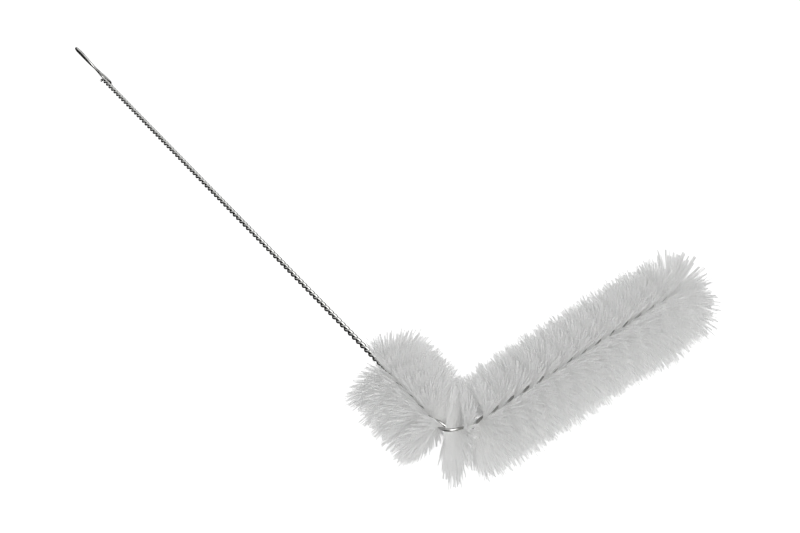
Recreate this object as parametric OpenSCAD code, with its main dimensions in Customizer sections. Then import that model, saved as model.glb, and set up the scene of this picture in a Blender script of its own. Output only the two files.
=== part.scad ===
// Bottle brush for flasks and demijohns: one wire, folded at the tip and twisted on itself,
// that grips nylon bristles, is bent to a right angle inside the head and ends in a hanging eye.
// The brush lies as it comes to rest: on its bristles and on the lower rim of the eye.
// X runs along the stem from the eye to the bend, Y along the long straight of the head, Z up.

/* [Wire] */
// Diameter of the round wire
wire_d = 2.0; // [1.6:0.1:2.4]
// Least gap between the two strands in the bare stem
strand_gap = 0.06; // [0.04:0.02:0.4]
// Clearance between the bristle roots and each strand
root_clear = 0.2; // [0.18:0.02:0.3]
// Flats round each strand
wire_sides = 5; // [5:1:8]
// Sections of a strand for each full turn of the stem's twist
stem_steps = 6; // [6:1:8]
// Sections of a strand for each full turn of the head's twist
head_steps = 7; // [7:1:10]

/* [Stem] */
// Length of the bare stem, from the eye to the first bristles
stem_len = 405; // [200:5:460]
// Length of one half turn of the strands in the stem
stem_half_turn = 4.6; // [4:0.1:7]
// Length over which the strands open out for the first bristles
strand_open_len = 8; // [4:1:16]

/* [Head] */
// Length of the short straight of the head, between the stem and the bend
neck_len = 51.5; // [45:0.5:75]
// Length of the long straight of the head, past the bend
head_len = 174.5; // [145:0.5:230]
// Radius of the bend, at the middle of the twisted wire
bend_r = 15; // [12:0.5:20]
// Angle that the wire turns through at the bend
bend_angle = 90; // [60:1:95]
// Direction of the strands at the first bristles, turned from Y towards Z
first_strand_angle = 25; // [0:1:90]
// Length of the bend that still has the twist of the short straight
neck_twist_past = 3.5; // [1:0.5:5]
// Length of the long straight that still has the twist of the bend
bend_twist_past = 8.5; // [5:0.5:10]
// Clumps of bristles on the short straight, one for each half turn
neck_tufts = 5; // [4:1:6]
// Clumps of bristles round the bend
bend_tufts = 2; // [2:1:3]
// Clumps of bristles on the long straight
head_tufts = 13; // [11:1:15]

/* [Bristles] */
// Radius of the bristle head
brush_r = 34; // [28:0.5:40]
// Depth to which the bristles under the head have flattened against the floor
floor_squash = 1.5; // [0.5:0.25:4]
// Radius out to which the bristles of a clump stand as one row, before it parts into tufts
row_r = 22; // [15:0.5:24]
// Space between the tips of neighbouring rows, along the wire
row_space = 1.6; // [1.5:0.1:3]
// Tufts in each of the two rows of a clump
row_tufts = 7; // [5:1:8]
// How much the tufts of a row differ in width, as a share of their mean width
tuft_vary = 0.5; // [0:0.05:0.6]
// Open angle between the tips of neighbouring tufts
tuft_open_angle = 6; // [5:0.5:9]
// Most that a tuft's tips fall short of the full radius
tip_ragged = 3; // [0:0.1:4]
// Most that a tuft's tips stray round the wire, in degrees
tip_stray = 2; // [0:0.5:2]
// Most that a tuft's tips stray along the wire
tip_drift = 0.6; // [0:0.1:0.6]
// Thickness of the bristle roots pinched between the strands
root_t = 0.35; // [0.25:0.05:0.5]
// Clearance between the roots of one clump and the next
clump_clear = 0.1; // [0.1:0.05:0.4]
// Distance that the tips keep from the inner corner of the bend
corner_clear = 3; // [2:0.5:5]
// Most that a row spreads along the wire on the outside of the bend, against its width elsewhere
bend_spread = 0.9; // [0.8:0.05:1.4]
// How far the clump that hangs from the bend holds together, against a fan square to the wire
hang_hold = 0.6; // [0:0.05:0.65]
// Forward lean of the clump that hangs from the bend
hang_lean = 14; // [0:1:15]
// Backward lean of the first bristles, towards the stem
first_lean = 11; // [0:1:20]

/* [Tip] */
// Length of wire that carries the fan of bristles at the tip
fan_len = 3; // [2.5:0.5:5]
// Clearance between the fan's roots and the fold of the wire
fold_clear = 0.8; // [0.6:0.1:1.2]
// How much wider the fold stands than the strands before the fan, to each side
fold_open = 0.5; // [0.3:0.1:1]
// Angle round the wire that each side of the fan fills
fan_angle = 160; // [120:1:170]
// Width of the fan's rows at their tips
fan_w = 13; // [8:0.5:16]
// Forward lean of the last bristles before the fan
last_lean = 5; // [0:1:15]
// Forward lean of the first bristles of the fan
fan_lean_start = 22; // [18:1:50]
// Forward lean of the last bristles of the fan
fan_lean_end = 61; // [50:1:70]

/* [Eye] */
// Inside diameter of the hanging eye
eye_d = 38; // [24:1:50]
// Angle between the eye's own axis and the floor
eye_lean = 25; // [0:1:50]
// How far the middle of the eye bows out of its plane
eye_bow = 1.5; // [0:0.1:3]
// How far the cut end of the wire stands out from the middle of the stem
cut_end = 3; // [2.5:0.1:5]

/* [Hidden] */
WIRE_COLOUR = [0.62, 0.62, 0.62];
BRISTLE_COLOUR = [0.93, 0.93, 0.91];

tuft_count = neck_tufts + bend_tufts + head_tufts;

// ---------------------------------------------------------------- small helpers

function unit(v) = v / norm(v);
// v without its part along t, as a unit vector
function square_to(v, t) = unit(v - (v * t) * t);
// Point at t on the curve with the four control points b
function bezier(b, t) =
    pow(1 - t, 3) * b[0] + 3 * t * pow(1 - t, 2) * b[1] + 3 * t * t * (1 - t) * b[2] + pow(t, 3) * b[3];
// A four-sided face as two triangles
function quad(a, b, c, d) = [[a, b, c], [a, c, d]];

// ---------------------------------------------------------------- middle line of the wire
// s is the length along the wire: 0 at the first bristles, less than 0 in the stem.
// The flat local frame has its origin where the two straights would meet.

UP = [0, 0, 1];
bend_len = bend_r * bend_angle * PI / 180;
corner_len = bend_r * tan(bend_angle / 2);
bend_centre = [-corner_len, bend_r, 0];
bend_start = neck_len;
bend_end = neck_len + bend_len;
wire_end = bend_end + head_len;

function line_angle(s) = min(max((s - bend_start) / bend_r * 180 / PI, 0), bend_angle);
function along(s) = [cos(line_angle(s)), sin(line_angle(s)), 0];
function aside(s) = [-sin(line_angle(s)), cos(line_angle(s)), 0];
function middle(s) =
    bend_centre - bend_r * aside(s) + (min(s - bend_start, 0) + max(s - bend_end, 0)) * along(s);
// Direction square to the wire, turned by angle from its left side towards the top
function outward(s, angle) = cos(angle) * aside(s) + sin(angle) * UP;

// ---------------------------------------------------------------- twist
// The lay is left-handed. n counts half turns from the first bristles.

neck_twist_end = neck_len + neck_twist_past;
bend_twist_end = bend_end + bend_twist_past;
head_twist_end = wire_end - fan_len;
stem_turns = round(stem_len / stem_half_turn / 2);
stem_half_turns = 2 * stem_turns + (eye_lean - first_strand_angle) / 180;
stem_lay = stem_len / stem_half_turns;
neck_lay = neck_twist_end / neck_tufts;
bend_lay = (bend_twist_end - neck_twist_end) / bend_tufts;
head_lay = (head_twist_end - bend_twist_end) / head_tufts;
bend_first = neck_tufts;
head_first = neck_tufts + bend_tufts;

// Length along the wire at n half turns
function twist_s(n) =
    n < 0 ? n * stem_lay :
    n < bend_first ? n * neck_lay :
    n < head_first ? neck_twist_end + (n - bend_first) * bend_lay :
    bend_twist_end + (n - head_first) * head_lay;
function strand_angle(n) = first_strand_angle - 180 * n;

// ---------------------------------------------------------------- wire
// Each section of the wire is a row [centre, direction that a flat's back faces].

wire_end_n = tuft_count + fan_len / head_lay;
section_r = wire_d / 2 * sqrt(2 * PI / (wire_sides * sin(360 / wire_sides)));
flat_r = section_r * cos(180 / wire_sides);
stem_offset = (flat_r + strand_gap / 2) / cos(180 / stem_steps);
head_offset = (flat_r + root_t / 2 + root_clear) / cos(180 / head_steps);
function strand_offset(s) =
    stem_offset + (head_offset - stem_offset) * min(max(s / strand_open_len + 1, 0), 1)
    + fold_open * max((s - head_twist_end) / fan_len, 0);

stem_sections = ceil(stem_half_turns * stem_steps / 2);
head_sections = ceil(wire_end_n * head_steps / 2);
strand_n = concat(
    [for (i = [0 : stem_sections - 1]) stem_half_turns * (i / stem_sections - 1)],
    [for (i = [0 : head_sections]) wire_end_n * i / head_sections]
);
function strand_section(n, turned) =
    let (s = twist_s(n), out = outward(s, strand_angle(n) + turned))
    [middle(s) + strand_offset(s) * out, out];
strand_a = [for (n = strand_n) strand_section(n, 0)];
strand_b = [for (i = [len(strand_n) - 1 : -1 : 0]) strand_section(strand_n[i], 180)];

// The fold at the tip, half a circle from one strand to the other
FOLD_STEPS = 5;
fold = [
    for (i = [1 : FOLD_STEPS - 1])
        let (
            turn = 180 * i / FOLD_STEPS,
            out = cos(turn) * outward(wire_end, strand_angle(wire_end_n)) + sin(turn) * along(wire_end)
        )
        [middle(wire_end) + strand_offset(wire_end) * out, out]
];

// The hanging eye, in its own frame at the end of the stem: away from the stem, across the eye
// and along its axis. The wire comes out of the stem, goes round and crosses the stem's end.
eye_r = (eye_d + wire_d) / 2;
EYE_NECK = 1.5;        // from the end of the stem to the near side of the eye
EYE_JOIN = 35;         // angle at which the round part of the eye begins
EYE_STEPS = 18;
NECK_STEPS = 6;
NECK_PULL = 4.5;       // how straight the wire leaves the stem
TAIL_PULL = 7;         // how straight it comes back
TAIL_ON = 0.95;        // from the end of the stem to the cut end, past the strand
TAIL_ASIDE = 0.35;     // from the side of the stem to the cut end
TAIL_TURN = [0.2, 0.8]; // how far the last turn of the wire pulls it outwards and short of the cut end
eye_axis = [0, cos(eye_lean), sin(eye_lean)];
eye_across = [0, -sin(eye_lean), cos(eye_lean)];
eye_centre = eye_r + EYE_NECK;
tail_at = stem_offset + TAIL_ON;
tail_side = -stem_offset - TAIL_ASIDE;

function eye_point(q) = middle(-stem_len) + q[0] * [-1, 0, 0] + q[1] * eye_across + q[2] * eye_axis;
function bow(out) = stem_offset + eye_bow * sin(180 * min(max(out / (2 * eye_r), 0), 1));
function round_point(turn) =
    let (out = eye_centre - eye_r * cos(turn))
    [out, eye_r * sin(turn), bow(out)];
lay_slope = stem_offset * PI / stem_lay;
neck_curve = [
    [0, 0, stem_offset],
    [0, 0, stem_offset] + NECK_PULL * unit([1, lay_slope, 0]),
    round_point(EYE_JOIN) - NECK_PULL * [sin(EYE_JOIN), cos(EYE_JOIN), 0],
    round_point(EYE_JOIN)
];
tail_curve = [
    round_point(-EYE_JOIN),
    round_point(-EYE_JOIN) - TAIL_PULL * [sin(EYE_JOIN), -cos(EYE_JOIN), 0],
    [tail_at, tail_side - TAIL_TURN[0], cut_end - TAIL_TURN[1]],
    [tail_at, tail_side, -cut_end]
];
eye = [
    for (q = concat(
        [for (i = [NECK_STEPS : -1 : 1]) bezier(tail_curve, i / NECK_STEPS)],
        [for (i = [0 : EYE_STEPS]) round_point(-EYE_JOIN - (360 - 2 * EYE_JOIN) * i / EYE_STEPS)],
        [for (i = [NECK_STEPS - 1 : -1 : 1]) bezier(neck_curve, i / NECK_STEPS)]
    ))
        [eye_point(q), eye_axis]
];

wire = concat(eye, strand_a, fold, strand_b);
function wire_dir(i) = unit(wire[min(i + 1, len(wire) - 1)][0] - wire[max(i - 1, 0)][0]);
wire_points = [
    for (i = [0 : len(wire) - 1])
        let (t = wire_dir(i), out = square_to(wire[i][1], t), side = cross(t, out))
        for (k = [0 : wire_sides - 1])
            let (a = 180 + 180 / wire_sides + 360 * k / wire_sides)
            wire[i][0] + section_r * (cos(a) * out + sin(a) * side)
];
wire_faces = concat(
    [[for (k = [wire_sides - 1 : -1 : 0]) k]],
    [
        for (i = [0 : len(wire) - 2], k = [0 : wire_sides - 1])
            let (a = i * wire_sides, b = a + wire_sides, next = (k + 1) % wire_sides)
            each quad(a + k, a + next, b + next, b + k)
    ],
    [[for (k = [0 : wire_sides - 1]) (len(wire) - 1) * wire_sides + k]]
);

// ---------------------------------------------------------------- the brush at rest
// The stem slopes down from the head until the lower rim of the eye touches the floor.

axis_lift = brush_r - floor_squash;
eye_low = wire_points[
    search(min([for (i = [0 : len(eye) * wire_sides - 1]) wire_points[i].z]),
        [for (i = [0 : len(eye) * wire_sides - 1]) [wire_points[i].z]])[0]
];
stem_slope = asin((axis_lift + eye_low.z) / -eye_low.x);
// A point of the flat local frame, moved to where it is with the brush on the floor
function laid(p) = [
    p.x * cos(stem_slope) - p.z * sin(stem_slope),
    p.y,
    max(p.x * sin(stem_slope) + p.z * cos(stem_slope) + axis_lift, 0)
];
function laid_z(v) = v.x * sin(stem_slope) + v.z * cos(stem_slope);

// ---------------------------------------------------------------- bristles
// A clump has a web of roots between the strands, and a row of bristles on each side of the
// wire that turns with the web. Past row_r each row parts into tufts.

root_r = head_offset + section_r + root_clear / 4;
row_part = (row_r - root_r) / (brush_r - root_r);
row_count = (tuft_count + 1) * row_tufts;
SEEDS = [7, 11, 13, 17];
ragged = rands(0, 1, row_count * 8, SEEDS[0]);
stray = rands(-1, 1, row_count * 2, SEEDS[1]);
drift = rands(-1, 1, row_count * 2, SEEDS[2]);
split = rands(-1, 1, row_count, SEEDS[3]);

// Least part of a bristle's direction, towards the corner or the floor, for it to meet them
LEVEL = 0.01;
// Room for bristles from the wire to the inner corner of the bend, square to the wire
function corner_room(s) =
    bend_r - corner_clear + (max(bend_start - s, 0) + max(s - bend_end, 0)) * bend_r / corner_len;
// Length that a bristle may have here, in the direction v that makes the angle with the left side
function bristle_len(s, angle, v, full) =
    let (
        corner = cos(angle) > LEVEL ? corner_room(s) / cos(angle) : full,
        floor = laid_z(v) < -LEVEL ? (axis_lift + laid_z(middle(s))) / -laid_z(v) : full
    )
    min(full, corner, floor);
// How much longer the outside of the bend is than the wire's middle, at this radius
function stretch(s, angle, r) = s > bend_start && s < bend_end ? 1 - r * cos(angle) / bend_r : 1;

// Forward lean of the bristles, which is backward (less than 0) in the first half turns
// and forward in the last
LEAN_LAYS = 2;
function lean_part(from_end, half_turn) = pow(max(1 - from_end / (LEAN_LAYS * half_turn), 0), 2);
function lean(s) =
    s > head_twist_end
        ? fan_lean_start + (fan_lean_end - fan_lean_start) * (s - head_twist_end) / fan_len
        : last_lean * lean_part(head_twist_end - s, head_lay) - first_lean * lean_part(s, neck_lay);

// The clump that hangs from the bend is its first: there, how much a bristle is on the outside
function hanging(k, angle) = k == bend_first ? max(-cos(angle), 0) : 0;
function row_lean(k, s, angle) = lean(s) + hang_lean * hanging(k, angle);
// Where the wire has the direction that a bristle at s keeps to
function held_s(k, s, angle) = s + hang_hold * hanging(k, angle) * (twist_s(k + 0.5) - s);

// Position of the row at n half turns, for rows past both ends of the head as well
function row_s(n) = n < 0 ? n * neck_lay : twist_s(n);
// Half the width of the row at n, at its tips, on the side of the next row (way 1) or the last (-1)
function half_w(k, n, way) = k < tuft_count ? (abs(row_s(n + way) - row_s(n)) - row_space) / 2 : fan_w / 2;

// A point of a row: part is 0 at the roots and 1 at the tips, wide moves it along the wire
function row_point(k, s, angle, part, wide, short) =
    let (
        g = row_lean(k, s, angle),
        v = cos(g) * outward(s, angle) + sin(g) * along(s),
        grow = stretch(s, angle, brush_r * part),
        w = wide * (grow > 1 ? min(1, bend_spread / grow) : 1),
        at = s + w * cos(g),
        by = held_s(k, at, angle),
        tip_r = bristle_len(at, angle, v, brush_r - short),
        r = root_r + part * (tip_r - root_r)
    )
    middle(at) + r * (cos(g) * outward(by, angle) + sin(g) * along(by)) - w * sin(g) * outward(by, angle);

// Half turns that the end of a clump keeps free, so that its roots clear the next clump's
clump_gap = asin((root_t + clump_clear) / 2 / root_r) / 180;
// Half turn count at a share u of clump k, and the angle at which its bristles stand there
function clump_n(k, u) =
    k < tuft_count
        ? k + clump_gap + u * (1 - 2 * clump_gap)
        : k + clump_gap + u * ((fan_len - fold_clear) / head_lay - clump_gap);
function row_angle(k, u) =
    k < tuft_count
        ? strand_angle(clump_n(k, u)) + 90
        : strand_angle(clump_n(k, 0.5)) + 90 - fan_angle * (u - 0.5);

// Where tuft i of clump k begins, as a share of the clump
function station(k, i) =
    (i + (i > 0 && i < row_tufts ? tuft_vary / 2 * split[k * row_tufts + i] : 0)) / row_tufts;

function clump_points(k) =
    let (m = row_tufts, open = tuft_open_angle / 360)
    concat(
        // Eight points at each station: the roots and the edge of the rows, on both sides
        [
            for (i = [0 : m])
                let (
                    u = station(k, i),
                    n = clump_n(k, u),
                    s = twist_s(n),
                    out = outward(s, strand_angle(n) + 90),
                    flat = cross(along(s), out) * root_t / 2,
                    front = half_w(k, n, 1) * row_part,
                    back = -half_w(k, n, -1) * row_part
                )
                each [
                    middle(s) + root_r * out + flat,
                    middle(s) + root_r * out - flat,
                    middle(s) - root_r * out - flat,
                    middle(s) - root_r * out + flat,
                    row_point(k, s, row_angle(k, u), row_part, front, 0),
                    row_point(k, s, row_angle(k, u), row_part, back, 0),
                    row_point(k, s, row_angle(k, u) + 180, row_part, front, 0),
                    row_point(k, s, row_angle(k, u) + 180, row_part, back, 0)
                ]
        ],
        // Eight points for each pair of tufts: four tips on each side
        [
            for (i = [0 : m - 1], side = [0, 1], tip = [0 : 3])
                let (
                    tuft = (k * m + i) * 2 + side,
                    u = tip < 2 ? station(k, i) + open : station(k, i + 1) - open,
                    n = clump_n(k, u),
                    angle = row_angle(k, u) + 180 * side + tip_stray * stray[tuft],
                    way = tip % 2 == 0 ? 1 : -1,
                    wide = way * half_w(k, n, way) + tip_drift * drift[tuft],
                    short = tip_ragged * ragged[tuft * 4 + tip]
                )
                row_point(k, twist_s(n), angle, 1, wide, short)
        ]
    );

// Corners of station i: side 0 or 1, front 1 towards the tip of the brush or 0 towards the stem
function root_at(i, side, front) = 8 * i + 2 * side + (1 - front);
function row_at(i, side, front) = 8 * i + 4 + 2 * side + (1 - front);
// Tips of tuft i: last 0 or 1 for the edge that comes first or last along the twist
function tip_at(i, side, last, front) = 8 * (row_tufts + 1 + i) + 4 * side + 2 * last + (1 - front);

function web_end(i) =
    i == 0
        ? quad(root_at(i, 1, 0), root_at(i, 0, 1), root_at(i, 0, 0), root_at(i, 1, 1))
        : quad(root_at(i, 1, 1), root_at(i, 0, 0), root_at(i, 0, 1), root_at(i, 1, 0));

clump_faces = concat(
    [
        for (i = [0 : row_tufts - 1], side = [0, 1])
            let (j = i + 1)
            each concat(
                quad(root_at(i, side, 1), root_at(j, side, 1), row_at(j, side, 1), row_at(i, side, 1)),
                quad(row_at(i, side, 0), row_at(j, side, 0), root_at(j, side, 0), root_at(i, side, 0)),
                quad(row_at(i, side, 1), row_at(j, side, 1), tip_at(i, side, 1, 1), tip_at(i, side, 0, 1)),
                quad(tip_at(i, side, 0, 0), tip_at(i, side, 1, 0), row_at(j, side, 0), row_at(i, side, 0)),
                quad(row_at(i, side, 1), tip_at(i, side, 0, 1), tip_at(i, side, 0, 0), row_at(i, side, 0)),
                quad(row_at(j, side, 0), tip_at(i, side, 1, 0), tip_at(i, side, 1, 1), row_at(j, side, 1)),
                quad(
                    tip_at(i, side, 0, 1), tip_at(i, side, 1, 1),
                    tip_at(i, side, 1, 0), tip_at(i, side, 0, 0)
                ),
                // the web of roots between the strands
                quad(
                    root_at(i, 1 - side, 0), root_at(j, 1 - side, 0),
                    root_at(j, side, 1), root_at(i, side, 1)
                )
            )
    ],
    [
        for (side = [0, 1])
            let (m = row_tufts)
            each concat(
                quad(row_at(0, side, 1), row_at(0, side, 0), root_at(0, side, 0), root_at(0, side, 1)),
                quad(row_at(m, side, 0), row_at(m, side, 1), root_at(m, side, 1), root_at(m, side, 0))
            )
    ],
    web_end(0),
    web_end(row_tufts)
);

// ---------------------------------------------------------------- place and pieces

clumps = [for (k = [0 : tuft_count]) [for (p = clump_points(k)) laid(p)]];
laid_wire = [for (p = wire_points) laid(p)];
all_points = concat(laid_wire, [for (c = clumps, p = c) p]);
low_corner = [for (axis = [0, 1]) min([for (p = all_points) p[axis]])];
high_corner = [for (axis = [0, 1]) max([for (p = all_points) p[axis]])];
box_middle = (low_corner + high_corner) / 2;

// Faces are listed anticlockwise from outside, and a polyhedron takes them clockwise
function turned_over(faces) = [for (f = faces) [for (i = [len(f) - 1 : -1 : 0]) f[i]]];
module on_floor(points, faces)
    translate([-box_middle.x, -box_middle.y, 0])
        polyhedron(points = points, faces = turned_over(faces), convexity = 12);

module twisted_wire()
    color(WIRE_COLOUR)
        on_floor(laid_wire, wire_faces);

module bristle_clump(k)
    color(BRISTLE_COLOUR)
        on_floor(clumps[k], clump_faces);

twisted_wire();
for (k = [0 : tuft_count])
    bristle_clump(k);
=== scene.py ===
# %% [markdown]
# # A bottle brush in Blender
# The brush is one long steel wire. It is folded in half, the two halves are twisted together, and
# where the twist closes it pinches thousands of nylon bristles. The head is bent to a right angle
# and the far end is turned into an eye for hanging. This lesson builds it round a plain solid
# model, called the frame here, which says where every piece is and how large it may be.

import bpy
import numpy as np
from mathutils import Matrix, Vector


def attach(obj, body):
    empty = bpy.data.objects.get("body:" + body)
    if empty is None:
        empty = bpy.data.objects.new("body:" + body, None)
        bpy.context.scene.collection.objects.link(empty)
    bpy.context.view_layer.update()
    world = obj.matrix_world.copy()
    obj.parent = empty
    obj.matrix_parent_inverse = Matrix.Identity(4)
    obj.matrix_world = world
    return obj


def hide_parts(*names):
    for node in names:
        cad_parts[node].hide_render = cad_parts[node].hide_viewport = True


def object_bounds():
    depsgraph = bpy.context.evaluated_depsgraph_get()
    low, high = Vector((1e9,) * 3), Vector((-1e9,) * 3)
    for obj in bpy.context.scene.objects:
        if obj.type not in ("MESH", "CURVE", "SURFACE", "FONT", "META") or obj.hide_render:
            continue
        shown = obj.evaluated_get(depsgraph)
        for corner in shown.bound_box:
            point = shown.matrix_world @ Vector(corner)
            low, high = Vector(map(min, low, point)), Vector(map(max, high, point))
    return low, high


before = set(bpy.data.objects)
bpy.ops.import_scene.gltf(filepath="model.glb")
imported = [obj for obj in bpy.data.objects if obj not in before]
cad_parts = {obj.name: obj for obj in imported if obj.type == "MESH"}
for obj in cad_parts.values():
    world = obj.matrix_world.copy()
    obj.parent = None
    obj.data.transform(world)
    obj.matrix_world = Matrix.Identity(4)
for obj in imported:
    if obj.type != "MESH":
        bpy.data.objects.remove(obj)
FRAME_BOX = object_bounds()
MM = 0.001
print("frame:", len(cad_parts), "solids, size in mm", (FRAME_BOX[1] - FRAME_BOX[0]) / MM)

# %% [markdown]
# ## Small helpers for node trees
# Blender's Geometry Nodes and materials are both trees of nodes. Building them in a script keeps
# every size in one place, and two short helpers are enough: one adds a node and fills its
# sockets with numbers or with the outputs of other nodes, the other starts a geometry tree.


# %% Helpers that add nodes
def put(socket, value):
    """Links value to the socket when it is another socket, and else stores it there."""
    if isinstance(value, bpy.types.NodeSocket):
        socket.id_data.links.new(value, socket)
    else:
        socket.default_value = value


def add(tree, kind, inputs=None, **settings):
    """Adds a node; inputs go by socket name or number, settings are the node's own options."""
    made = tree.nodes.new(kind)
    for name, value in settings.items():
        setattr(made, name, value)
    for name, value in (inputs or {}).items():
        put(made.inputs[name], value)
    return made


def maths(tree, operation, *values):
    made = add(tree, "ShaderNodeMath", operation=operation)
    for socket, value in zip(made.inputs, values):
        put(socket, value)
    return made.outputs[0]


def vectors(tree, operation, *values, scale=None):
    made = add(tree, "ShaderNodeVectorMath", operation=operation)
    for socket, value in zip(made.inputs, values):
        put(socket, value)
    if scale is not None:
        put(made.inputs["Scale"], scale)
    return made.outputs[0]


# %% Helpers that start and use a geometry tree
def geometry_tree(name, sizes):
    """A geometry tree whose inputs are the geometry and the named sizes, each with its type."""
    tree = bpy.data.node_groups.new(name, "GeometryNodeTree")
    face = tree.interface
    face.new_socket("Geometry", in_out="INPUT", socket_type="NodeSocketGeometry")
    for size, kind in sizes.items():
        face.new_socket(size, in_out="INPUT", socket_type="NodeSocket" + kind)
    face.new_socket("Geometry", in_out="OUTPUT", socket_type="NodeSocketGeometry")
    given = tree.nodes.new("NodeGroupInput").outputs
    return tree, given


def end_tree(tree, made):
    """Ends a tree with real geometry in the given material, as the exported part needs."""
    real = add(tree, "GeometryNodeRealizeInstances", {"Geometry": made}).outputs[0]
    dressed = add(tree, "GeometryNodeSetMaterial", {"Geometry": real})
    put(dressed.inputs["Material"], tree.nodes["Group Input"].outputs["Material"])
    put(tree.nodes.new("NodeGroupOutput").inputs["Geometry"], dressed.outputs[0])


def grown(name, base, tree, values):
    """Runs the tree on the mesh or curve called base and returns the result as a plain mesh."""
    seed = bpy.data.objects.new(name + "_seed", base)
    bpy.context.scene.collection.objects.link(seed)
    modifier = seed.modifiers.new("nodes", "NODES")
    modifier.node_group = tree
    for item in tree.interface.items_tree:
        if item.in_out == "INPUT" and item.name in values:
            modifier[item.identifier] = values[item.name]
    ready = seed.evaluated_get(bpy.context.evaluated_depsgraph_get())
    mesh = bpy.data.meshes.new_from_object(ready)
    mesh.name = name
    bpy.data.objects.remove(seed)
    piece = bpy.data.objects.new(name, mesh)
    bpy.context.scene.collection.objects.link(piece)
    return piece


def triangles(piece):
    piece.data.calc_loop_triangles()
    return len(piece.data.loop_triangles)


# %% [markdown]
# ## The middle line of the wire
# Everything on this brush follows one line: straight stem, short straight of the head, bend, long
# straight of the head. A length s along that line says where we are: 0 at the first bristles,
# less than 0 in the stem. All lengths here are millimetres, and the last step turns them into
# metres. The line could be drawn by hand as a curve, but a rule gives its direction as well.

# %% The sizes of the line
WIRE_D = 2.0
STEM_LEN, STEM_LAY = 405.0, 4.6  # the lay is the length of one half turn of the twist
NECK_LEN, HEAD_LEN = 51.5, 174.5
BEND_R, BEND_ANGLE = 15.0, np.radians(90)
BRUSH_R, FLOOR_SQUASH = 34.0, 1.5  # the floor presses the lowest bristles in by 1.5
STEM_SLOPE = np.radians(1.70481)  # the head lifts its end of the stem, the eye rests low
CORNER = np.array([240.131, -92.538])  # where the two straights of the head would cross

UP = np.array([0.0, 0.0, 1.0])
BEND_START, BEND_END = NECK_LEN, NECK_LEN + BEND_R * BEND_ANGLE
WIRE_END = BEND_END + HEAD_LEN
CORNER_LEN = BEND_R * np.tan(BEND_ANGLE / 2)
BEND_CENTRE = np.array([-CORNER_LEN, BEND_R, 0.0])
AXIS_LIFT = BRUSH_R - FLOOR_SQUASH


# %% The line as a rule
def line_angle(s):
    return np.clip((s - BEND_START) / BEND_R, 0, BEND_ANGLE)


def along(s):
    return np.array([np.cos(line_angle(s)), np.sin(line_angle(s)), 0.0])


def aside(s):
    return np.array([-np.sin(line_angle(s)), np.cos(line_angle(s)), 0.0])


def middle(s):
    past = min(s - BEND_START, 0) + max(s - BEND_END, 0)
    return BEND_CENTRE - BEND_R * aside(s) + past * along(s)


def outward(s, angle):
    """Direction square to the wire, turned by angle from its left side towards the top."""
    return np.cos(angle) * aside(s) + np.sin(angle) * UP


def laid(p):
    """A point of the flat line's own frame, in metres where the brush lies on the floor."""
    x = p[0] * np.cos(STEM_SLOPE) - p[2] * np.sin(STEM_SLOPE)
    z = p[0] * np.sin(STEM_SLOPE) + p[2] * np.cos(STEM_SLOPE) + AXIS_LIFT
    return Vector((x + CORNER[0], p[1] + CORNER[1], z)) * MM


print("wire's middle line:", round(STEM_LEN + WIRE_END, 1), "mm long")

# %% [markdown]
# ## The twist
# Two strands that wind round each other change places every half turn, so half turns are the
# natural way to count along this brush: n is 0 at the first bristles, and one clump of bristles
# sits in each half turn of the head. The twist is tight in the bare stem, looser in the head and
# loosest in the bend, so one rule turns n into a length along the line. The loose part runs a
# little past both ends of the bend, and the last 3 mm of the head are the fold and its fan.

# %% The twist as a rule
NECK_TUFTS, BEND_TUFTS, HEAD_TUFTS = 5, 2, 13
TUFTS = NECK_TUFTS + BEND_TUFTS + HEAD_TUFTS
NECK_TWIST_PAST, BEND_TWIST_PAST, FAN_LEN = 3.5, 8.5, 3.0
FIRST_ANGLE, EYE_LEAN = np.radians(25), np.radians(25)
NECK_TWIST_END = NECK_LEN + NECK_TWIST_PAST
BEND_TWIST_END = BEND_END + BEND_TWIST_PAST
HEAD_TWIST_END = WIRE_END - FAN_LEN
STEM_HALF_TURNS = 2 * round(STEM_LEN / STEM_LAY / 2) + (EYE_LEAN - FIRST_ANGLE) / np.pi
MARKS_N = [-STEM_HALF_TURNS, 0, NECK_TUFTS, NECK_TUFTS + BEND_TUFTS, TUFTS]
MARKS_S = [-STEM_LEN, 0, NECK_TWIST_END, BEND_TWIST_END, HEAD_TWIST_END]
NECK_LAY = NECK_TWIST_END / NECK_TUFTS
HEAD_LAY = (HEAD_TWIST_END - BEND_TWIST_END) / HEAD_TUFTS


def twist_s(n):
    """Length along the line at n half turns."""
    if n > TUFTS:
        return HEAD_TWIST_END + (n - TUFTS) * HEAD_LAY
    return float(np.interp(n, MARKS_N, MARKS_S))


def strand_angle(n):
    return FIRST_ANGLE - np.pi * n


print("half turns: stem", round(float(STEM_HALF_TURNS), 2), "head", TUFTS)
print("lay in mm: neck", round(NECK_LAY, 2), "head", round(float(HEAD_LAY), 2))

# %% [markdown]
# ## The path of the wire
# One wire makes the whole skeleton: out of the hanging eye, along the stem and the head as the
# first strand, round the fold at the tip and back as the second strand. So one open path is
# enough. In the stem the strands touch; in the head they stand apart by the bristles they grip.

# %% The two strands and the fold
STRAND_GAP, ROOT_T, ROOT_CLEAR = 0.02, 0.35, 0.2
STRAND_OPEN_LEN, FOLD_OPEN = 8.0, 0.5
STEM_OFFSET = (WIRE_D + STRAND_GAP) / 2
HEAD_OFFSET = WIRE_D / 2 + ROOT_T / 2 + ROOT_CLEAR
WIRE_END_N = TUFTS + FAN_LEN / HEAD_LAY
STEM_STEPS, HEAD_STEPS, FOLD_STEPS = 14, 28, 16


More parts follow.
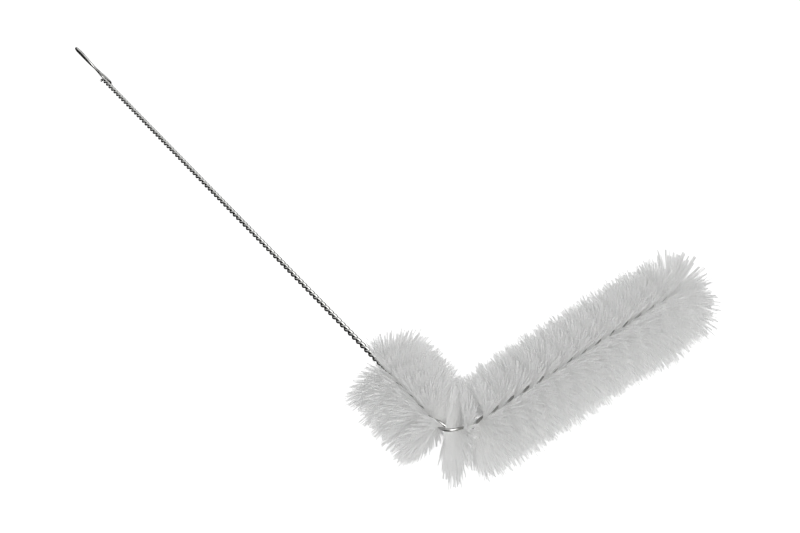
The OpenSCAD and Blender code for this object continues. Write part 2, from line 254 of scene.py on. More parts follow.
def strand_offset(s):
    """Distance of each strand from the middle line."""
    opening = np.clip(s / STRAND_OPEN_LEN + 1, 0, 1)
    opening = opening * opening * (3 - 2 * opening)  # starts and ends softly
    fold = FOLD_OPEN * max((s - HEAD_TWIST_END) / FAN_LEN, 0)
    return STEM_OFFSET + (HEAD_OFFSET - STEM_OFFSET) * opening + fold


def strand(n, turned):
    s = twist_s(n)
    return middle(s) + strand_offset(s) * outward(s, strand_angle(n) + turned)


stem_count = int(np.ceil(STEM_HALF_TURNS * STEM_STEPS / 2))
head_count = int(np.ceil(WIRE_END_N * HEAD_STEPS / 2))
counts = [STEM_HALF_TURNS * (i / stem_count - 1) for i in range(stem_count)]
counts += [WIRE_END_N * i / head_count for i in range(head_count + 1)]
strand_a = [strand(n, 0) for n in counts]
strand_b = [strand(n, np.pi) for n in reversed(counts)]

fold_out = outward(WIRE_END, strand_angle(WIRE_END_N)) * strand_offset(WIRE_END)
fold_on = along(WIRE_END) * strand_offset(WIRE_END)
turns = [np.pi * i / FOLD_STEPS for i in range(1, FOLD_STEPS)]
fold = [middle(WIRE_END) + np.cos(t) * fold_out + np.sin(t) * fold_on for t in turns]
print("strand points:", len(strand_a), "each way, fold", len(fold))

# %% [markdown]
# ## The hanging eye
# The wire leaves the stem, bows round in a ring of 38 mm inside and comes back across the end of
# the stem, where it is cut off short. The ring is a plain circle; two Bezier curves carry the
# wire into it and out of it, so that it bends as a hand with pliers would bend it.

# %% The eye's path
EYE_D, EYE_NECK, EYE_BOW, CUT_END = 38.0, 1.5, 1.5, 3.0
EYE_R = (EYE_D + WIRE_D) / 2
EYE_JOIN = np.radians(35)  # where the ring meets the two curves, either side of the stem
NECK_PULL, TAIL_PULL = 4.5, 7.0
TAIL_ON, TAIL_ASIDE, TAIL_TURN, TAIL_SHORT = 0.95, 0.35, 0.2, 0.8
EYE_STEPS, EYE_CURVE_STEPS = 72, 14
EYE_AXIS = np.array([0, np.cos(EYE_LEAN), np.sin(EYE_LEAN)])
EYE_ACROSS = np.array([0, -np.sin(EYE_LEAN), np.cos(EYE_LEAN)])


def eye_point(q):
    """A point of the eye: out from the stem, across the ring, and along the ring's own axis."""
    return middle(-STEM_LEN) - q[0] * along(0) + q[1] * EYE_ACROSS + q[2] * EYE_AXIS


def ring(turn):
    """The ring, which bows a little to one side so that the cut end passes the stem."""
    out = EYE_R + EYE_NECK - EYE_R * np.cos(turn)
    bow = STEM_OFFSET + EYE_BOW * np.sin(np.pi * np.clip(out / (2 * EYE_R), 0, 1))
    return np.array([out, EYE_R * np.sin(turn), bow])


def bezier(b, t):
    u = 1 - t
    return u**3 * b[0] + 3 * t * u**2 * b[1] + 3 * t**2 * u * b[2] + t**3 * b[3]


leaving = np.array([0.0, 0.0, STEM_OFFSET])
slope = np.array([1.0, STEM_OFFSET * np.pi / STEM_LAY, 0.0])
join = np.array([np.sin(EYE_JOIN), np.cos(EYE_JOIN), 0.0])
tail_at, tail_side = STEM_OFFSET + TAIL_ON, -STEM_OFFSET - TAIL_ASIDE
neck_curve = [
    leaving,
    leaving + NECK_PULL * slope / np.linalg.norm(slope),
    ring(EYE_JOIN) - NECK_PULL * join,
    ring(EYE_JOIN),
]
tail_curve = [
    ring(-EYE_JOIN),
    ring(-EYE_JOIN) - TAIL_PULL * join * [1, -1, 1],
    np.array([tail_at, tail_side - TAIL_TURN, CUT_END - TAIL_SHORT]),
    np.array([tail_at, tail_side, -CUT_END]),
]
steps = [i / EYE_CURVE_STEPS for i in range(1, EYE_CURVE_STEPS + 1)]
tail = [bezier(tail_curve, t) for t in reversed(steps)]
round_part = [
    ring(-EYE_JOIN - (2 * np.pi - 2 * EYE_JOIN) * i / EYE_STEPS) for i in range(EYE_STEPS + 1)
]
neck = [bezier(neck_curve, t) for t in reversed(steps[:-1])]
eye = [eye_point(q) for q in tail + round_part + neck]
wire_path = [laid(p) for p in eye + strand_a + fold + strand_b]
print("wire path:", len(wire_path), "points")

# %% [markdown]
# ## Bright steel wire
# Drawn steel wire is smooth and shiny, with very fine lines along its length from the die and a
# slightly duller film in places. A metal shader gives the shine. The lines come from noise that
# is squeezed along the wire's own map, whose first number runs along it and second round it.

# %% The steel material
def material(name):
    made = bpy.data.materials.new(name)
    made.use_nodes = True
    tree = made.node_tree
    return made, tree, tree.nodes["Principled BSDF"]


def noise(tree, vector, scale, detail):
    made = add(tree, "ShaderNodeTexNoise", {"Vector": vector, "Scale": scale, "Detail": detail})
    return made.outputs[0]


def two_tones(tree, value, low, low_colour, high, high_colour):
    """A colour that runs from low_colour at the value low to high_colour at the value high."""
    ramp = add(tree, "ShaderNodeValToRGB", {"Fac": value})
    first, last = ramp.color_ramp.elements
    first.position, last.position = low, high
    first.color, last.color = (*low_colour, 1), (*high_colour, 1)
    return ramp.outputs["Color"]


LINES_ALONG, LINES_ROUND, LINE_DETAIL = 400.0, 40.0, 3.0
FILM_SCALE, FILM_DETAIL, FILM_LOW, FILM_HIGH = 60.0, 4.0, 0.35, 0.7
STEEL_DARK, STEEL_PALE = (0.40, 0.40, 0.39), (0.52, 0.52, 0.51)
POLISH, FILM_ROUGH, LINE_ROUGH = 0.05, 0.10, 0.08
LINE_BUMP, LINE_DEPTH = 0.12, 0.00005

steel, tree, shader = material("bright_steel_wire")
put(shader.inputs["Metallic"], 1.0)
run = add(tree, "ShaderNodeUVMap", uv_map="wire_map").outputs[0]
squeeze = {"Vector": run, "Scale": (LINES_ALONG, LINES_ROUND, 1.0)}
lines = noise(tree, add(tree, "ShaderNodeMapping", squeeze).outputs[0], 1.0, LINE_DETAIL)
place = add(tree, "ShaderNodeTexCoord").outputs["Object"]
film = noise(tree, place, FILM_SCALE, FILM_DETAIL)
tone = two_tones(tree, film, FILM_LOW, STEEL_DARK, FILM_HIGH, STEEL_PALE)
put(shader.inputs["Base Color"], tone)
dull = maths(tree, "MULTIPLY_ADD", film, FILM_ROUGH, POLISH)
put(shader.inputs["Roughness"], maths(tree, "MULTIPLY_ADD", lines, LINE_ROUGH, dull))
raised = {"Height": lines, "Strength": LINE_BUMP, "Distance": LINE_DEPTH}
put(shader.inputs["Normal"], add(tree, "ShaderNodeBump", raised).outputs[0])
print("material:", steel.name, len(tree.nodes), "nodes")

# %% [markdown]
# ## The wire itself
# A Curve to Mesh node sweeps a circle along the path. That keeps the wire round through every
# bend and gives both numbers of its map for free: how far along the path, and how far round.
# They are stored as named values before the sweep and joined into a map after it.

# %% Helpers that store and read a named value
def stored(tree, geometry, name, value, kind="FLOAT_VECTOR", domain="POINT"):
    made = add(
        tree,
        "GeometryNodeStoreNamedAttribute",
        {"Geometry": geometry, "Name": name, "Value": value},
        data_type=kind,
        domain=domain,
    )
    return made.outputs[0]


def read(tree, name, kind="FLOAT_VECTOR"):
    made = add(tree, "GeometryNodeInputNamedAttribute", {"Name": name}, data_type=kind)
    return made.outputs[0]


# %% The wire tree
wire_tree, given = geometry_tree(
    "round_wire", {"Radius": "Float", "Sides": "Int", "Material": "Material"}
)
t = wire_tree
length = add(t, "GeometryNodeSplineParameter").outputs["Length"]
path = stored(t, given["Geometry"], "wire_along", length, "FLOAT")
section = add(
    t,
    "GeometryNodeCurvePrimitiveCircle",
    {"Resolution": given["Sides"], "Radius": given["Radius"]},
).outputs[0]
turn = add(t, "GeometryNodeSplineParameter").outputs["Factor"]
section = stored(t, section, "wire_round", turn, "FLOAT")
swept = add(
    t,
    "GeometryNodeCurveToMesh",
    {"Curve": path, "Profile Curve": section, "Fill Caps": True},
).outputs[0]
both = {"X": read(t, "wire_along", "FLOAT"), "Y": read(t, "wire_round", "FLOAT")}
pair = add(t, "ShaderNodeCombineXYZ", both).outputs[0]
end_tree(t, stored(t, swept, "wire_map", pair, "FLOAT2", "CORNER"))
print("wire tree:", len(t.nodes), "nodes")

# %% Grow the wire
WIRE_SIDES = 14


def path_curve(name, points):
    curve = bpy.data.curves.new(name, "CURVE")
    curve.dimensions = "3D"
    line = curve.splines.new("POLY")
    line.points.add(len(points) - 1)
    line.points.foreach_set("co", [c for p in points for c in (*p, 1.0)])
    return curve


wire = grown(
    "twisted_wire_steel",
    path_curve("wire_path", wire_path),
    wire_tree,
    {"Radius": WIRE_D / 2 * MM, "Sides": WIRE_SIDES, "Material": steel},
)
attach(wire, "root")
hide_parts("twisted_wire")
print("wire:", triangles(wire), "triangles")

# %% [markdown]
# ## Where the bristles of a clump end
# Bristles all have one length from the wire, so the tips of a clump lie on a curved strip that
# winds half a turn round the wire, one strip on each side. If we build those two strips as
# plain grids and store on every point the place where its bristle is pinched, Geometry Nodes
# can scatter as many bristles as we like: each one runs from its stored root to its tip.
#
# No real brush is an even cylinder, so the rule also holds what bending and lying about do to it.
# The bend squeezes the clumps together on its inner side, where their bristles cross and end
# sooner, and parts them on its outer side, where they stand a little longer. The first clump of
# the bend hangs down as one bundle. Bristles lean back at the stem and forward towards the tip,
# where the last ones open in a fan, and the long sides of the head sag a little.

# %% Sizes of the rows, and of the bristles' length
ROW_SPACE, CLUMP_GAP = 2.6, 0.02  # between rows at the tips in mm, and in half turns at the wire
ROUNDED = 0.18  # how much of its length a row loses at its two long edges
OUTER_LONG = 2.2  # added on the outer side
NECK_LONG, FAN_LONG = 2.0, 3.0  # added on the inner side of the neck, and of the fan
BULGE, BULGE_AT = 4.0, 22.0  # a swelling on the outer side, 22 mm before the fan
CORNER_CROSSING = 9.0  # how far bristles reach across the line that halves the bend
CROWD, CROWD_AT, CROWD_WIDTH = 2.5, 28.0, 12.0  # lost on the inner side, 28 mm from the corner
BEND_SPREAD = 0.9  # a row's width at its tips outside the bend, as a share of that at the wire
SAG = 3.5  # at the sides of the head

# %% Sizes of the leaning clumps and the fan
FIRST_LEAN, LAST_LEAN, LEAN_LAYS = np.radians(12), np.radians(22), 2
FIRST_UNEVEN = 0.6  # the first lean is stronger outside and weaker inside by this share
FAN_LEAN_START, FAN_LEAN_END = np.radians(22), np.radians(58)
FAN_ANGLE = np.radians(160)  # how far round the wire each half of the fan spreads
FAN_W, FAN_BACK = 9.0, 33.0  # twice its width towards the tip, and back over the head
FOLD_CLEAR = 0.8  # from its last bristles to the fold of the wire
HANGING_CLUMP = NECK_TUFTS
HANG_GAP, HANG_HOLD = 0.2, 0.75  # its later start in half turns, and how far it closes up
HANG_LEAN = np.radians(14)


# %% The rule for a tip
def lean(s, angle):
    """Forward lean of the bristles at s: backward at the start, forward towards the tip."""
    if s > HEAD_TWIST_END:
        share = (s - HEAD_TWIST_END) / FAN_LEN
        return FAN_LEAN_START + (FAN_LEAN_END - FAN_LEAN_START) * share
    last = max(1 - (HEAD_TWIST_END - s) / (LEAN_LAYS * HEAD_LAY), 0) ** 2
    first = max(1 - s / (LEAN_LAYS * NECK_LAY), 0) ** 2
    return LAST_LEAN * last - FIRST_LEAN * first * (1 - FIRST_UNEVEN * np.cos(angle))


def row_s(n):
    """Length along the line at n half turns, counted on before the first bristles too."""
    return n * NECK_LAY if n < 0 else twist_s(n)


def half_width(k, n, way):
    """Half the width of a row at its tips, towards the next row (way 1) or the last (-1)."""
    if k == TUFTS:
        return (FAN_W if way > 0 else FAN_BACK) / 2
    return (abs(row_s(n + way) - row_s(n)) - ROW_SPACE) / 2


STRAIGHT_UP = 0.01  # a bristle that points less than this to the inner side is an outer one


def reach(s, angle):
    """Length of a bristle at s: less inside the bend, a little more on the bend's outer side."""
    inside = np.cos(angle)
    if inside < STRAIGHT_UP:
        bulge = BULGE * np.exp(-(((HEAD_TWIST_END - s - BULGE_AT) / BULGE_AT) ** 2))
        return BRUSH_R - inside * (OUTER_LONG + bulge if s < HEAD_TWIST_END else 0)
    beside = CORNER_LEN + max(BEND_START - s, 0) + max(s - BEND_END, 0)
    crowded = CROWD * inside * np.exp(-(((beside - CROWD_AT) / CROWD_WIDTH) ** 2))
    longer = inside * (FAN_LONG if s > HEAD_TWIST_END else NECK_LONG if s < BEND_END else 0)
    return min(BRUSH_R, (beside + CORNER_CROSSING) / inside) - crowded + longer


def tip_point(k, s, angle, wide):
    """Tip of a bristle of clump k that is pinched at s, wide mm from the middle of its row."""
    hanging = max(-np.cos(angle), 0) if k == HANGING_CLUMP else 0
    slant = lean(s, angle) + HANG_LEAN * hanging
    forward, upright = np.sin(slant), np.cos(slant)
    w = wide
    if BEND_START < s < BEND_END and np.cos(angle) < 0:
        w = wide * (BEND_SPREAD / (1 - BRUSH_R * np.cos(angle) / BEND_R))
    at = s + w * upright
    by = at + HANG_HOLD * hanging * (twist_s(k + 0.5) - at)
    out = outward(by, angle)
    r = reach(at, angle)
    tip = middle(at) + r * (upright * out + forward * along(by)) - w * forward * out
    in_head = np.clip((s - BEND_END) / HEAD_LAY, 0, 1)
    return tip - in_head * SAG * abs(np.cos(angle)) * UP


for k in (0, HANGING_CLUMP, TUFTS - 1):
    s = twist_s(k + 0.5)
    inner, outer = round(float(reach(s, 0)), 1), round(float(reach(s, np.pi)), 1)
    print("clump", k + 1, "reaches", inner, "mm to the inner side,", outer, "mm to the outer")

# %% The two strips of a clump
ACROSS, ROUND = 9, 33  # points across a strip and round it


def clump_n(k, u):
    """Half turns at share u of clump k; the clump after the last is the fan."""
    if k < TUFTS:
        first = HANG_GAP if k == HANGING_CLUMP else CLUMP_GAP
        return k + first + u * (1 - first - CLUMP_GAP)
    return k + CLUMP_GAP + u * ((FAN_LEN - FOLD_CLEAR) / HEAD_LAY - CLUMP_GAP)


def row_angle(k, u):
    """Direction of the bristles there: square to the strands, or spread out in the fan."""
    if k < TUFTS:
        return strand_angle(clump_n(k, u)) + np.pi / 2
    return strand_angle(clump_n(k, 0.5)) + np.pi / 2 - FAN_ANGLE * (u - 0.5)


EDGE_POWER = 3  # how late the rounding of a row begins


def tip_strips(name, k):
    """The strips of clump k as a mesh, with each tip's root stored on it."""
    tips, roots, faces = [], [], []
    for side in (0, np.pi):
        first = len(tips)
        for i in range(ROUND):
            u = i / (ROUND - 1)
            n = clump_n(k, u)
            for j in range(ACROSS):
                w = 2 * j / (ACROSS - 1) - 1
                way = 1 if w > 0 else -1
                wide = w * half_width(k, n, way)
                root = laid(middle(twist_s(n)))
                tip = laid(tip_point(k, twist_s(n), row_angle(k, u) + side, wide))
                tip.z = min(tip.z, FRAME_BOX[1][2])
                rounded = ROUNDED if k < TUFTS or w > 0 else 0
                tips.append(tip.lerp(root, rounded * abs(w) ** EDGE_POWER))
                roots.append(root)
        for i in range(ROUND - 1):
            for j in range(ACROSS - 1):
                a = first + i * ACROSS + j
                faces.append((a, a + 1, a + ACROSS + 1, a + ACROSS))
    mesh = bpy.data.meshes.new(name)
    mesh.from_pydata(tips, [], faces)
    kept = mesh.attributes.new("root", "FLOAT_VECTOR", "POINT")
    kept.data.foreach_set("vector", [c for r in roots for c in r])
    return mesh


# %% [markdown]
# ## Clear nylon bristles
# Nylon bristle is a milky, half clear thread. Light goes into it and comes out again, so a mass
# of it looks soft grey and never black inside. Half the light is let through, and a little sheen
# lifts the edges. In a real brush light also bounces on from thread to thread far more often
# than a renderer follows it, and a very small glow stands in for those lost bounces. Each bristle
# carries its own random number and how far along it we are, so the colour can differ a little
# from thread to thread. A painted shade also makes it a touch darker and warmer near the wire,
# where the roots crowd together in shadow.

# %% The nylon material
CLEAR, LOST_BOUNCES = 0.55, 0.07
NYLON_ROUGH, NYLON_IOR, NYLON_SHEEN, SHEEN_ROUGH = 0.45, 1.53, 0.6, 0.4
CLOUD_SCALE, CLOUD_DETAIL, CLOUD_SHARE = 90.0, 3.0, 0.4
NYLON_GREY, NYLON_WHITE = (0.96, 0.962, 0.96), (0.99, 0.99, 0.988)
SHADE_LOW, SHADE_HIGH = 0.1, 0.8
# painted shade: near the wire the bristles darken towards this colour, where their roots crowd
ROOT_PAINTED_SHADE, ROOT_SHADE_SHARE = (0.96, 0.96, 0.94, 1), 0.5

nylon, tree, shader = material("clear_nylon_bristle")
put(shader.inputs["Roughness"], NYLON_ROUGH)
put(shader.inputs["IOR"], NYLON_IOR)
put(shader.inputs["Sheen Weight"], NYLON_SHEEN)
put(shader.inputs["Sheen Roughness"], SHEEN_ROUGH)
put(shader.inputs["Transmission Weight"], CLEAR)
put(shader.inputs["Emission Strength"], LOST_BOUNCES)
own = add(tree, "ShaderNodeAttribute", attribute_name="bristle_shade").outputs["Fac"]
out_along = add(tree, "ShaderNodeAttribute", attribute_name="bristle_along").outputs["Fac"]
cloud = noise(tree, add(tree, "ShaderNodeTexCoord").outputs["Object"], CLOUD_SCALE, CLOUD_DETAIL)
cloud = maths(tree, "MULTIPLY", cloud, CLOUD_SHARE)
mixed = maths(tree, "MULTIPLY_ADD", own, 1 - CLOUD_SHARE, cloud)
# painted shade near the wire: the colour is multiplied darker towards each bristle's root
root_painted_shade = add(tree, "ShaderNodeMix", data_type="RGBA", blend_type="MULTIPLY")
put(root_painted_shade.inputs["Factor"], maths(tree, "MULTIPLY_ADD", out_along, -ROOT_SHADE_SHARE, ROOT_SHADE_SHARE))
put(root_painted_shade.inputs["A"], two_tones(tree, mixed, SHADE_LOW, NYLON_GREY, SHADE_HIGH, NYLON_WHITE))
put(root_painted_shade.inputs["B"], ROOT_PAINTED_SHADE)
put(shader.inputs["Base Color"], root_painted_shade.outputs["Result"])
print("material:", nylon.name, len(tree.nodes), "nodes")

# %% [markdown]
# ## Scattering and growing the bristles
# The tree scatters tips on the strips and sorts them by chance into two kinds. Those of the
# first kind lean together into small locks, one lock to each cell of a Voronoi pattern, and make
# the spiky outline. The others are a little shorter and fill the space between. Every tip then
# gets a line of a few points: a point at share f of the line lies at share f of the way from root
# to tip, pushed sideways in the middle, drawn into its lock towards the end, and never below the
# floor. A three-sided tube is enough for a thread this thin, and keeps tens of thousands of
# threads affordable.

# %% The bristle tree, first part: its sizes and its helpers
SIZES = {
    "Density": "Float",
    "Radius": "Float",
    "Lock Share": "Float",
    "Lock Size": "Float",
    "Lock Pull": "Float",
    "Pull Power": "Float",
    "Undercut": "Float",
    "Ragged": "Float",
    "Bow": "Float",
    "Root Spread": "Float",
    "Seed": "Int",
    "Material": "Material",
}
bristle_tree, given = geometry_tree("bristles", SIZES)


def random_number(tree, low, high, seed):
    made = add(tree, "FunctionNodeRandomValue", data_type="FLOAT")
    floats = [s for s in made.inputs if s.type == "VALUE"]
    put(floats[0], low)
    put(floats[1], high)
    put(made.inputs["Seed"], seed)
    return [s for s in made.outputs if s.type == "VALUE"][0]


def random_vector(tree, size, seed):
    made = add(tree, "FunctionNodeRandomValue", data_type="FLOAT_VECTOR")
    made.inputs[0].default_value = (-1, -1, -1)
    made.inputs[1].default_value = (1, 1, 1)
    put(made.inputs["Seed"], seed)
    return vectors(tree, "SCALE", made.outputs[0], scale=size)


def mixed_vectors(tree, share, a, b):
    step = vectors(tree, "SUBTRACT", b, a)
    return vectors(tree, "ADD", a, vectors(tree, "SCALE", step, scale=share))


def gathered(tree, point, size, pull):
    """The point drawn towards the middle of its Voronoi cell, and the cell's own colour."""
    cells = add(tree, "ShaderNodeTexVoronoi", {"Vector": point})
    put(cells.inputs["Scale"], maths(tree, "DIVIDE", 1.0, size))
    return mixed_vectors(tree, pull, point, cells.outputs["Position"]), cells.outputs["Color"]


# %% The bristle tree, second part: tips
PICK_STEP, CUT_STEP, BOW_STEP, SHADE_STEP, SPREAD_STEP = 1, 3, 5, 7, 9
t = bristle_tree


def seed(step):
    """The clump's own seed moved on by step, so that no two chances are alike."""
    return maths(t, "ADD", given["Seed"], step)


scattered = add(
    t,
    "GeometryNodeDistributePointsOnFaces",
    {"Mesh": given["Geometry"], "Density": given["Density"], "Seed": given["Seed"]},
).outputs["Points"]
root = read(t, "root")
spot = add(t, "GeometryNodeInputPosition").outputs[0]
lock, own_lock = gathered(t, spot, given["Lock Size"], given["Lock Pull"])
pick = random_number(t, 0.0, 1.0, seed(PICK_STEP))
in_lock = maths(t, "LESS_THAN", pick, given["Lock Share"])
cut = random_number(t, 0.0, 1.0, seed(CUT_STEP))
cut = maths(t, "MULTIPLY_ADD", cut, given["Ragged"], given["Undercut"])
lock_cut = maths(t, "MULTIPLY", own_lock, given["Ragged"])
cut = maths(t, "MULTIPLY", cut, maths(t, "SUBTRACT", 1.0, in_lock))
cut = maths(t, "MULTIPLY_ADD", lock_cut, in_lock, cut)
tip = mixed_vectors(t, maths(t, "SUBTRACT", 1.0, cut), root, spot)
with_tip = stored(t, scattered, "tip", tip)
pull = vectors(t, "SCALE", vectors(t, "SUBTRACT", lock, spot), scale=in_lock)
with_tip = stored(t, with_tip, "pull", pull)
spread = random_vector(t, given["Root Spread"], seed(SPREAD_STEP))
with_root = stored(t, with_tip, "root", vectors(t, "ADD", root, spread))
bow = random_vector(t, given["Bow"], seed(BOW_STEP))
with_bow = stored(t, with_root, "bow", bow)
shade = random_number(t, 0.0, 1.0, seed(SHADE_STEP))
with_shade = stored(t, with_bow, "bristle_shade", shade, "FLOAT")
print("tips:", len(t.nodes), "nodes")

# %% The bristle tree, third part: threads
THREAD_POINTS, THREAD_SIDES, THREAD_TAPER = 4, 3, 0.1
FLOOR_CLEAR = 2.5  # of the thread's radius; less would let a corner of the tube dip into it
line = add(t, "GeometryNodeCurvePrimitiveLine", {"Start": (0, 0, 0), "End": (0, 0, 1)})
fine = add(t, "GeometryNodeResampleCurve", {"Curve": line.outputs[0], "Count": THREAD_POINTS})
threads = add(
    t, "GeometryNodeInstanceOnPoints", {"Points": with_shade, "Instance": fine.outputs[0]}
)
loose = add(t, "GeometryNodeRealizeInstances", {"Geometry": threads.outputs[0]}).outputs[0]
f = add(t, "GeometryNodeSplineParameter").outputs["Factor"]
straight = mixed_vectors(t, f, read(t, "root"), read(t, "tip"))
hump = maths(t, "MULTIPLY", f, maths(t, "SUBTRACT", 1.0, f))
bent = vectors(t, "ADD", straight, vectors(t, "SCALE", read(t, "bow"), scale=hump))
late = maths(t, "POWER", f, given["Pull Power"])
bent = vectors(t, "ADD", bent, vectors(t, "SCALE", read(t, "pull"), scale=late))
x, y, z = add(t, "ShaderNodeSeparateXYZ", {"Vector": bent}).outputs
lowest = maths(t, "MULTIPLY", given["Radius"], FLOOR_CLEAR)
above = add(t, "ShaderNodeCombineXYZ", {"X": x, "Y": y, "Z": maths(t, "MAXIMUM", z, lowest)})
moved = {"Geometry": loose, "Position": above.outputs[0]}
shaped = add(t, "GeometryNodeSetPosition", moved).outputs[0]
shaped = stored(t, shaped, "bristle_along", f, "FLOAT")
taper = maths(t, "MULTIPLY_ADD", f, -THREAD_TAPER, 1.0)
section = add(
    t,
    "GeometryNodeCurvePrimitiveCircle",
    {"Resolution": THREAD_SIDES, "Radius": given["Radius"]},
).outputs[0]
tubes = add(
    t,
    "GeometryNodeCurveToMesh",
    {"Curve": shaped, "Profile Curve": section, "Scale": taper, "Fill Caps": True},
).outputs[0]
end_tree(t, tubes)
print("bristle tree:", len(t.nodes), "nodes")

# %% [markdown]
# One tree grows every clump, and only the numbers given to it differ. Most clumps share one set.
# The fan has bigger locks and hardly any bristles outside them, and the hanging clump is a
# smaller, evenly cut bundle.

# %% The bristles' numbers
BRISTLES, THREAD_D = 2200, 0.38
EVERY_CLUMP = {
    "Radius": THREAD_D / 2 * MM,
    "Lock Share": 0.7,
    "Lock Size": 3.0 * MM,
    "Lock Pull": 0.8,
    "Pull Power": 1.3,
    "Undercut": 0.17,
    "Ragged": 0.13,
    "Bow": 2.5 * MM,
    "Root Spread": 0.6 * MM,
    "Material": nylon,
}
OWN_NUMBERS = {
    TUFTS: {"Lock Share": 0.95, "Lock Size": 6.5 * MM},
    HANGING_CLUMP: {"Lock Share": 0.9, "Lock Size": 4.5 * MM, "Ragged": 0.04},
}
HANG_COUNT = 0.7
SEED_STEP = 10  # more than the tree adds to a seed, so that clumps share no chances

# %% Grow every clump
names = [f"neck_tuft_{k + 1}" for k in range(NECK_TUFTS)]
names += [f"bend_tuft_{k + 1}" for k in range(BEND_TUFTS)]
names += [f"head_tuft_{k + 1}" for k in range(HEAD_TUFTS)]
names += ["tip_tuft"]


def area(mesh):
    return sum(p.area for p in mesh.polygons)


total = 0
for k, node in enumerate(names):
    strips = tip_strips(node + "_tips", k)
    count = BRISTLES * (HANG_COUNT if k == HANGING_CLUMP else 1)
    chance = {"Density": count / area(strips), "Seed": SEED_STEP * k}
    numbers = EVERY_CLUMP | OWN_NUMBERS.get(k, {}) | chance
    clump = grown(node + "_bristles", strips, bristle_tree, numbers)
    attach(clump, "root")
    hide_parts(node)
    total += triangles(clump)
print("bristles:", len(names), "clumps,", total, "triangles")

# %% [markdown]
# ## Floor, light and camera
# A pale floor and big soft lights are all a product like this needs. The floor looks white to
# the camera and to rays that come through the bristles, and it still keeps the brush's soft
# shadow. To the lamps' light and to the steel it is ordinary pale paper.

# %% Floor
def is_seen(tree, *kinds):
    """1 for rays of these kinds, as the Light Path node names them, else 0."""
    path = add(tree, "ShaderNodeLightPath").outputs
    any_kind = 0.0
    for kind in kinds:
        any_kind = maths(tree, "ADD", path[f"Is {kind} Ray"], any_kind)
    return maths(tree, "MINIMUM", any_kind, 1.0)


def grey(level):
    return (level, level, level, 1)


FLOOR_SIZE = 16.0
PAPER, PAPER_ROUGH = 0.85, 0.9
PAPER_GLOW, PAPER_SHADE = 0.76, 0.42  # the white that shows, and how much a shadow takes from it
floor_mesh = bpy.data.meshes.new("floor")
half = FLOOR_SIZE / 2
corners = [(-half, -half, 0), (half, -half, 0), (half, half, 0), (-half, half, 0)]
floor_mesh.from_pydata(corners, [], [(0, 1, 2, 3)])
floor = bpy.data.objects.new("floor", floor_mesh)
bpy.context.scene.collection.objects.link(floor)
paper, tree, shader = material("white_paper")
put(shader.inputs["Base Color"], grey(PAPER))
put(shader.inputs["Roughness"], PAPER_ROUGH)
put(shader.inputs["Specular IOR Level"], 0.0)
glow = add(tree, "ShaderNodeEmission", {"Color": grey(1), "Strength": PAPER_GLOW}).outputs[0]
shade = add(tree, "ShaderNodeBsdfDiffuse", {"Color": grey(PAPER_SHADE)}).outputs[0]
shown = add(tree, "ShaderNodeAddShader", {0: glow, 1: shade}).outputs[0]
choice = add(
    tree,
    "ShaderNodeMixShader",
    {0: is_seen(tree, "Camera", "Transmission"), 1: shader.outputs[0], 2: shown},
).outputs[0]
put(tree.nodes["Material Output"].inputs["Surface"], choice)
floor_mesh.materials.append(paper)
print("floor:", FLOOR_SIZE, "m wide")

# %% [markdown]
# Polished metal in an all-white room loses its outline, so studios hang dark cards, called flags,
# where only the metal can reflect them. These three are hidden from the camera and from
# everything but reflections, so they neither shade the bristles nor show in any view.

# %% Dark flags for the steel
FLAG_GREY = 0.02
FLAG_HEIGHT, FLAG_UNDER_LIFT, FLAG_UNDER_WIDTH = 0.9, 0.001, 1.2  # metres
dark, tree, shader = material("dark_flag")
put(shader.inputs["Base Color"], grey(FLAG_GREY))
put(shader.inputs["Roughness"], 1.0)
put(shader.inputs["Specular IOR Level"], 0.0)


def flag(name, a, b, across):
    """A card with one long edge from a to b, and its width and direction given by across."""
    mesh = bpy.data.meshes.new(name)
    a, b, across = Vector(a), Vector(b), Vector(across)
    mesh.from_pydata([a, b, b + across, a + across], [], [(0, 1, 2, 3)])
    mesh.materials.append(dark)
    card = bpy.data.objects.new(name, mesh)
    bpy.context.scene.collection.objects.link(card)
    card.visible_camera = card.visible_diffuse = card.visible_shadow = False
    card.visible_transmission = card.visible_volume_scatter = False


standing = (0, 0, FLAG_HEIGHT)
flag("flag_behind", (-1.6, 0.9, 0), (0.6, 1.6, 0), standing)
flag("flag_before", (-2.2, -1.5, 0), (1.3, -1.1, 0), standing)
under_a, under_b = (-0.6, -0.6, FLAG_UNDER_LIFT), (0.3, -0.6, FLAG_UNDER_LIFT)
flag("flag_under", under_a, under_b, (0, FLAG_UNDER_WIDTH, 0))

# %% [markdown]
# The world gives an even light from all sides, and two large square lamps add a soft direction:
# one from the front, which brings out the bristles, and a weaker one from above. Rays from the
# camera, from reflections and through the bristles meet a white world, which is the backdrop.

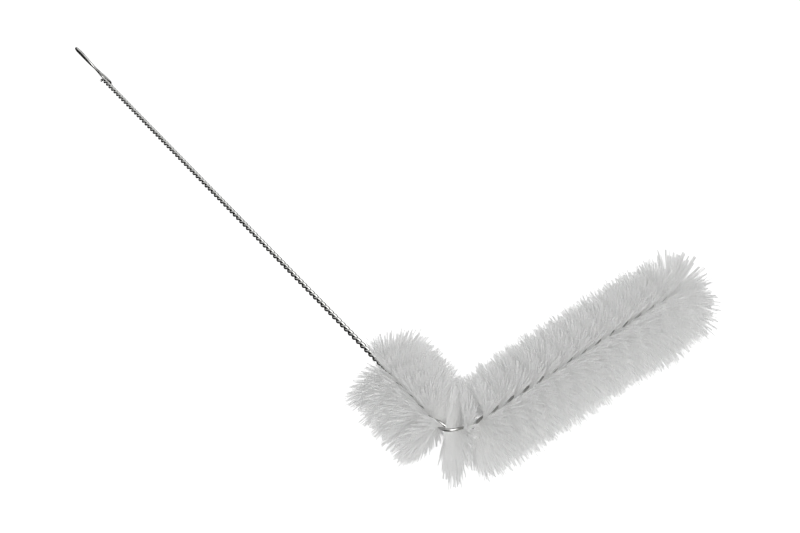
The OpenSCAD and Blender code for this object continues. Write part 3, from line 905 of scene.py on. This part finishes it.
# %% World and lamps
WORLD_LIGHT, WORLD_SHOWN = 0.5, 1.0
FRONT_SIZE, FRONT_POWER = 1.0, 11.2  # metres and watts
TOP_SIZE, TOP_POWER = 1.2, 5.0
world = bpy.data.worlds.new("studio")
world.use_nodes = True
bpy.context.scene.world = world
tree = world.node_tree
tree.nodes.clear()
soft, white = [
    add(tree, "ShaderNodeBackground", {"Color": grey(1), "Strength": strength}).outputs[0]
    for strength in (WORLD_LIGHT, WORLD_SHOWN)
]
seen = is_seen(tree, "Camera", "Glossy", "Transmission")
chosen = add(tree, "ShaderNodeMixShader", {0: seen, 1: soft, 2: white}).outputs[0]
put(add(tree, "ShaderNodeOutputWorld").inputs["Surface"], chosen)


def soft_lamp(name, place, target, size, power):
    light = bpy.data.lights.new(name, "AREA")
    light.shape, light.size, light.energy = "SQUARE", size, power
    lamp = bpy.data.objects.new(name, light)
    lamp.location = place
    lamp.rotation_euler = (Vector(target) - Vector(place)).to_track_quat("-Z", "Y").to_euler()
    bpy.context.scene.collection.objects.link(lamp)
    print("lamp:", name, power, "W")


soft_lamp("front_softbox", (0.85, -0.58, 1.04), (0.15, 0, 0), FRONT_SIZE, FRONT_POWER)
soft_lamp("top_softbox", (-0.3, 0.7, 1.5), (0, 0, 0), TOP_SIZE, TOP_POWER)

# %% [markdown]
# A lens of about 49 mm stands less than a metre away and looks down at 47 degrees, so the whole
# brush is in view from its eye to its fan.

# %% Camera
SENSOR_W, RENDER_W, FOCAL = 36.0, 800, 1085.85  # mm, and pixels for the other two
CAMERA_AT = (0.51725, -0.34460, 0.58634)
AZIMUTH, PITCH = 2.49055, 0.82041
lens = bpy.data.cameras.new("camera")
lens.sensor_width = SENSOR_W
lens.lens = FOCAL * SENSOR_W / RENDER_W
camera = bpy.data.objects.new("camera", lens)
camera.location = CAMERA_AT
looking = Vector(
    (np.cos(AZIMUTH) * np.cos(PITCH), np.sin(AZIMUTH) * np.cos(PITCH), -np.sin(PITCH))
)
camera.rotation_euler = looking.to_track_quat("-Z", "Y").to_euler()
bpy.context.scene.collection.objects.link(camera)
bpy.context.scene.camera = camera
bpy.context.scene.view_settings.view_transform = "Standard"
print("camera: lens in mm", round(lens.lens, 1))
